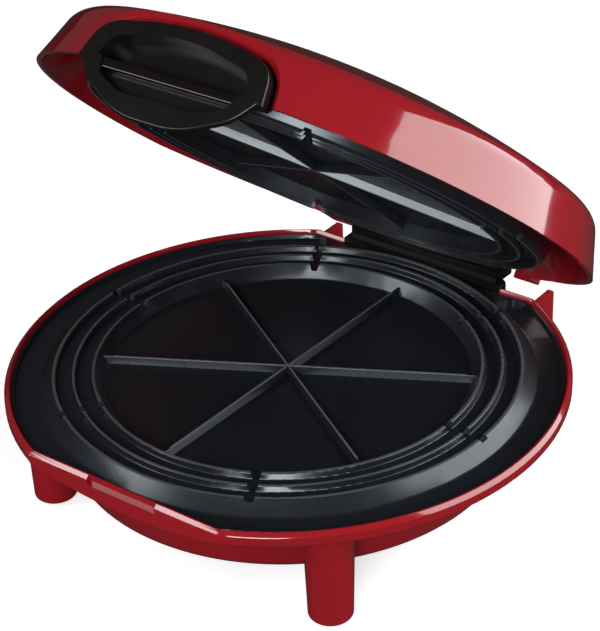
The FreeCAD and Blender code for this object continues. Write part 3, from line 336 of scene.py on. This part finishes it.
FINISHES = {
    "red_shell": RED,
    "ridged_plate": LOWER_COATING,
    "pad_rubber": RUBBER,
    "screw_steel": ZINC,
    "black_moulding": BLACK,
    "bar_moulding": BAR,
    "element_steel": ELEMENT,
    "aluminised_sheet": SHEET,
    "thermostat_body": PHENOLIC,
    "fuse_case": BRASS,
    "terminal_ceramic": CERAMIC,
    "bushing_rubber": RUBBER,
    "pin_steel": PIN,
}
slots = {entry["node"]: entry["material_slot"] for entry in frame["record"]["subparts"]}
riders = {node: body for body, group in frame["record"]["behaviour"]["bodies"].items() for node in group}
COATED = ["lower_plate", "upper_plate"]
CURVED = [
    "base_shell", "lid_shell", "handle_frame", "handle_bar",
    "hinge_base_bracket", "hinge_lid_bracket", "inlet_bushing",
    "foot_front_left", "foot_front_right", "foot_rear_left", "foot_rear_right",
]


def finish_of(node):
    return UPPER_COATING if node == "upper_plate" else FINISHES[slots[node]]


def dress(thing, material):
    thing.data.materials.clear()
    thing.data.materials.append(material)


for name, thing in nodes.items():
    dress(thing, finish_of(name))

# ---- smooth copies of the curved pieces ----

# Corners nearer than this are one corner.
WELD = 1e-6

# Edges that turn by less than this, in degrees, are shaded as one curve.
PLATE_SMOOTH = 50.0
SHELL_SMOOTH = 32.0
SCREW_SMOOTH = 30.0


def shade(mesh, angle):
    """Merges the corners, and shades curves smooth and edges over the angle crisp."""
    form = bmesh.new()
    form.from_mesh(mesh)
    bmesh.ops.remove_doubles(form, verts=form.verts, dist=WELD)
    for face in form.faces:
        face.smooth = True
    for edge in form.edges:
        edge.smooth = len(edge.link_faces) == 2 and edge.calc_face_angle(0.0) < math.radians(angle)
    form.to_mesh(mesh)
    form.free()


def settled(draft):
    """The draft's mesh with its modifiers worked in; the draft itself goes."""
    graph = bpy.context.evaluated_depsgraph_get()
    mesh = bpy.data.meshes.new_from_object(draft.evaluated_get(graph))
    bpy.data.objects.remove(draft)
    return mesh


def stand_in(name, node, mesh):
    """Puts a finished mesh in a node's place."""
    piece = link(name, mesh)
    dress(piece, finish_of(node))
    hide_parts(node)
    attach(piece, riders[node])


def smooth_copy(node):
    """The same form with merged corners, smooth curves and crisp edges."""
    mesh = nodes[node].data.copy()
    if node in COATED:
        shade(mesh, PLATE_SMOOTH)
    else:
        shade(mesh, SHELL_SMOOTH)
        draft = link("draft", mesh)
        weighted = draft.modifiers.new("even shading", "WEIGHTED_NORMAL")
        weighted.keep_sharp = True
        weighted.weight = 100
        mesh = settled(draft)
    stand_in(node + "_smooth", node, mesh)


for name in CURVED + COATED:
    smooth_copy(name)

# ---- screws ----

# Sizes of every screw in metres. CROWN_SHARE is the dome's top beside the whole head, and corners
# farther out than RIM_SHARE of the head are its rim.
HEAD_RADIUS = 0.0032
HEAD_HEIGHT = 0.0022
CROWN_SHARE = 0.72
SHANK_RADIUS = 0.0016
CROSS_REACH = 0.0019
CROSS_WIDTH = 0.0007
CROSS_DEPTH = 0.0013
SIDES = 24
RIM_SHARE = 0.9

# Which way each node's screws stand, up or down it.
LID_TILT = Matrix.Rotation(-OPEN, 3, "X")
UPRIGHT = Vector((0.0, 0.0, 1.0))
LEVEL = Vector((0.0, 1.0, 0.0))
SCREWS = {
    "foot_screws": UPRIGHT, "lower_plate_screws": UPRIGHT, "lower_clip_screws": UPRIGHT,
    "lower_shield_screws": UPRIGHT, "hinge_base_screws": LEVEL,
    "upper_plate_screws": LID_TILT @ UPRIGHT, "upper_clip_screws": LID_TILT @ UPRIGHT,
    "upper_shield_screws": LID_TILT @ UPRIGHT, "hinge_lid_screws": LID_TILT @ UPRIGHT,
    "handle_screws": LID_TILT @ LEVEL,
}


class Builder:
    """A Geometry Nodes tree, written as calls."""

    def __init__(self, name, sizes):
        self.tree = bpy.data.node_groups.new(name, "GeometryNodeTree")
        face = self.tree.interface
        face.new_socket("Geometry", in_out="OUTPUT", socket_type="NodeSocketGeometry")
        face.new_socket("Geometry", in_out="INPUT", socket_type="NodeSocketGeometry")
        self.keys = {}
        for label, kind in sizes.items():
            self.keys[label] = face.new_socket(label, in_out="INPUT", socket_type=kind).identifier
        self.given = self.tree.nodes.new("NodeGroupInput").outputs

    def add(self, kind, settings=None, inputs=None, output=0):
        made = self.tree.nodes.new(kind)
        for key, value in (settings or {}).items():
            setattr(made, key, value)
        for key, value in (inputs or {}).items():
            for each in value if isinstance(value, list) else [value]:
                if isinstance(each, bpy.types.NodeSocket):
                    self.tree.links.new(each, made.inputs[key])
                else:
                    made.inputs[key].default_value = each
        return made.outputs[output]

    def maths(self, operation, first, second):
        return self.add("ShaderNodeMath", {"operation": operation}, {0: first, 1: second})

    def shift(self, shape, rise):
        """Lifts a shape by the given height."""
        return self.add("GeometryNodeTransform", None, {
            "Geometry": shape, "Translation": self.add("ShaderNodeCombineXYZ", None, {"Z": rise}),
        })

    def merge(self, operation, shapes):
        """Joins shapes, or cuts the rest from the first."""
        keys = {1: shapes} if operation == "UNION" else {0: shapes[0], 1: shapes[1:]}
        return self.add("GeometryNodeMeshBoolean", {"operation": operation, "solver": "EXACT"}, keys)

    def cone(self, top, bottom, depth):
        return self.add("GeometryNodeMeshCone", {"fill_type": "NGON"}, {
            "Vertices": SIDES, "Radius Top": top, "Radius Bottom": bottom, "Depth": depth,
        })

    def block(self, x, y, z):
        return self.add("GeometryNodeMeshCube", None, {
            "Size": self.add("ShaderNodeCombineXYZ", None, {"X": x, "Y": y, "Z": z}),
        })

    def finish(self, shape, material):
        real = self.add("GeometryNodeRealizeInstances", None, {"Geometry": shape})
        dressed = self.add("GeometryNodeSetMaterial", None, {"Geometry": real, "Material": material})
        out = self.tree.nodes.new("NodeGroupOutput")
        self.tree.links.new(dressed, out.inputs[0])


def screw_tree():
    """Pan-head screws with a cross recess, one on each point, heads towards -Z."""
    sizes = {name: "NodeSocketFloat" for name in (
        "Head radius", "Head height", "Shank radius", "Shank length",
        "Cross reach", "Cross width", "Cross depth",
    )}
    build = Builder("pan_head_screws", {**sizes, "Material": "NodeSocketMaterial"})
    given = build.given
    wide, thin = given["Head radius"], given["Shank radius"]
    half = build.maths("MULTIPLY", given["Head height"], 0.5)
    middle = build.maths("MULTIPLY", half, -1.0)
    top = build.maths("MULTIPLY", given["Head height"], -1.0)
    crown = build.maths("MULTIPLY", wide, CROWN_SHARE)
    length = build.maths("ADD", given["Shank length"], half)
    lip = build.shift(build.cone(wide, wide, half), middle)
    dome = build.shift(build.cone(wide, crown, half), top)
    shank = build.shift(build.cone(thin, thin, length), middle)
    solid = build.merge("UNION", [lip, dome, shank])
    slot = given["Cross width"]
    deep = build.maths("MULTIPLY", given["Cross depth"], 2.0)
    reach = build.maths("MULTIPLY", given["Cross reach"], 2.0)
    arms = [build.shift(build.block(x, y, deep), top) for x, y in ((reach, slot), (slot, reach))]
    cut = build.merge("DIFFERENCE", [solid, *arms])
    pointing = build.add(
        "GeometryNodeInputNamedAttribute", {"data_type": "FLOAT_VECTOR"}, {"Name": "pointing"})
    turn = build.add("FunctionNodeAlignRotationToVector", {"axis": "Z"}, {"Vector": pointing})
    placed = build.add("GeometryNodeInstanceOnPoints", None, {
        "Points": given["Geometry"], "Instance": cut, "Rotation": turn,
    })
    build.finish(placed, given["Material"])
    return build


def screw_spots(node, axis):
    """Where each screw's head bears, which way its shank points, and how long the shank is."""
    form = bmesh.new()
    form.from_mesh(nodes[node].data)
    bmesh.ops.remove_doubles(form, verts=form.verts, dist=WELD)
    seen, spots = set(), []
    for first in form.verts:
        if first in seen:
            continue
        seen.add(first)
        group = [first]
        for vert in group:
            for link_edge in vert.link_edges:
                other = link_edge.other_vert(vert)
                if other not in seen:
                    seen.add(other)
                    group.append(other)
        points = np.array([vert.co[:] for vert in group])
        along = points @ np.array(axis)
        low, high = along.min(), along.max()
        across = points - np.outer(along, axis)
        middle = (across.min(axis=0) + across.max(axis=0)) / 2.0
        rim = np.linalg.norm(across - middle, axis=1) > RIM_SHARE * HEAD_RADIUS
        up = np.median(along[rim]) < (low + high) / 2.0
        seat = low + HEAD_HEIGHT if up else high - HEAD_HEIGHT
        spots.append((Vector(middle) + axis * seat, axis if up else -axis, high - low - HEAD_HEIGHT))
    form.free()
    return spots


def fit_screws(node, axis, tree):
    """Puts a cross-head screw in the place of each of a node's screws."""
    spots = screw_spots(node, axis)
    mesh = bpy.data.meshes.new(node)
    mesh.from_pydata([spot for spot, _, _ in spots], [], [])
    mesh.attributes.new("pointing", "FLOAT_VECTOR", "POINT").data.foreach_set(
        "vector", np.array([pointing[:] for _, pointing, _ in spots], dtype=np.float32).ravel())
    draft = link("draft", mesh)
    fitted = draft.modifiers.new("screws", "NODES")
    fitted.node_group = tree.tree
    for label, size in {
        "Head radius": HEAD_RADIUS, "Head height": HEAD_HEIGHT, "Shank radius": SHANK_RADIUS,
        "Shank length": spots[0][2], "Cross reach": CROSS_REACH, "Cross width": CROSS_WIDTH,
        "Cross depth": CROSS_DEPTH, "Material": FINISHES[slots[node]],
    }.items():
        fitted[tree.keys[label]] = size
    made = settled(draft)
    shade(made, SCREW_SMOOTH)
    stand_in(node + "_cross_head", node, made)


screw_maker = screw_tree()
for name, axis in SCREWS.items():
    fit_screws(name, axis, screw_maker)

# ---- floor, lamps and world ----

WHITE = (1.0, 1.0, 1.0, 1.0)
COOL = (0.92, 0.95, 1.0, 1.0)

# The floor as the camera sees it: its own light, and where it fades to plain white.
FLOOR_LIFT = 0.6
FADE_START = 0.35
FADE_END = 0.9

# The floor as other rays see it, bounced and mirrored.
FLOOR_BOUNCE = 0.3
FLOOR_SHEEN = 0.05

# Half the floor's width, and its height, just under the feet.
FLOOR_HALF = 6.0
FLOOR_LEVEL = -0.0003

AMBIENT = 0.05


def stage():
    """A pale floor under the feet: white to the camera, and darker in the light that it sends back."""
    finish = Finish("pale_floor")
    mottle = finish.noise(3.0, 2.0)
    pale = finish.colours(mottle, (0.84, 0.84, 0.84), (0.87, 0.87, 0.87))
    mirrored = finish.node("ShaderNodeLightPath", output="Is Glossy Ray")
    sent_back = finish.colours(mirrored, (FLOOR_BOUNCE,) * 3, (FLOOR_SHEEN,) * 3)
    dim = finish.node("ShaderNodeBsdfDiffuse", None, {"Color": sent_back})
    matt = finish.node("ShaderNodeBsdfDiffuse", None, {"Color": pale})
    glow = finish.node("ShaderNodeEmission", None, {"Color": WHITE, "Strength": FLOOR_LIFT})
    lifted = finish.node("ShaderNodeAddShader", None, {0: matt, 1: glow})
    seen = finish.node("ShaderNodeLightPath", output="Is Camera Ray")
    reach = finish.node("ShaderNodeVectorMath", {"operation": "LENGTH"}, {0: finish.place}, "Value")
    white = finish.node("ShaderNodeEmission", None, {"Color": WHITE, "Strength": 1.0})
    fading = finish.step(reach, FADE_START, FADE_END)
    bright = finish.node("ShaderNodeMixShader", None, {0: fading, 1: lifted, 2: white})
    material = finish.end(finish.node("ShaderNodeMixShader", None, {0: seen, 1: dim, 2: bright}))
    mesh = bpy.data.meshes.new("floor")
    corners = [(x * FLOOR_HALF, y * FLOOR_HALF, FLOOR_LEVEL) for x, y in ((-1, -1), (1, -1), (1, 1), (-1, 1))]
    mesh.from_pydata(corners, [], [(0, 1, 2, 3)])
    floor = link("floor", mesh)
    dress(floor, material)


def lamp(name, spot, aim, size, radiance, along=(0.0, 0.0, 1.0)):
    """A soft box that faces aim, its long side along the given direction."""
    data = bpy.data.lights.new(name, "AREA")
    data.shape = "RECTANGLE"
    data.size, data.size_y = size
    data.energy = radiance * math.pi * size[0] * size[1]
    thing = link(name, data)
    back = (Vector(spot) - Vector(aim)).normalized()
    side = Vector(along) - back * Vector(along).dot(back)
    side.normalize()
    thing.matrix_world = standing(side, back.cross(side), back, spot)
    thing.visible_camera = False


def world():
    """White behind everything for the camera, and a weak cool fill for the rest."""
    scene = bpy.context.scene
    made = bpy.data.worlds.new("studio")
    scene.world = made
    made.use_nodes = True
    tree = made.node_tree
    tree.nodes.clear()
    path = tree.nodes.new("ShaderNodeLightPath")
    seen = tree.nodes.new("ShaderNodeBackground")
    seen.inputs["Color"].default_value = WHITE
    seen.inputs["Strength"].default_value = 1.0
    fill = tree.nodes.new("ShaderNodeBackground")
    fill.inputs["Color"].default_value = COOL
    fill.inputs["Strength"].default_value = AMBIENT
    mix = tree.nodes.new("ShaderNodeMixShader")
    out = tree.nodes.new("ShaderNodeOutputWorld")
    tree.links.new(path.outputs["Is Camera Ray"], mix.inputs["Fac"])
    tree.links.new(fill.outputs["Background"], mix.inputs[1])
    tree.links.new(seen.outputs["Background"], mix.inputs[2])
    tree.links.new(mix.outputs["Shader"], out.inputs["Surface"])
    scene.view_settings.view_transform = "Standard"


stage()
lamp(
    "side_soft_box", spot=(1.24, 0.83, 0.75), aim=(0.1, 0.0, 0.2),
    size=(2.1, 1.27), radiance=3.8, along=(-0.447, 0.757, -0.476))
lamp(
    "front_soft_box", spot=(0.55, -1.5, 0.85), aim=(0.0, 0.0, 0.15),
    size=(0.8, 0.7), radiance=10.5, along=(1.0, 0.0, 0.0))
lamp(
    "left_soft_box", spot=(-1.0, -1.25, 1.0), aim=(0.0, 0.0, 0.1),
    size=(0.8, 0.6), radiance=6.0)
world()
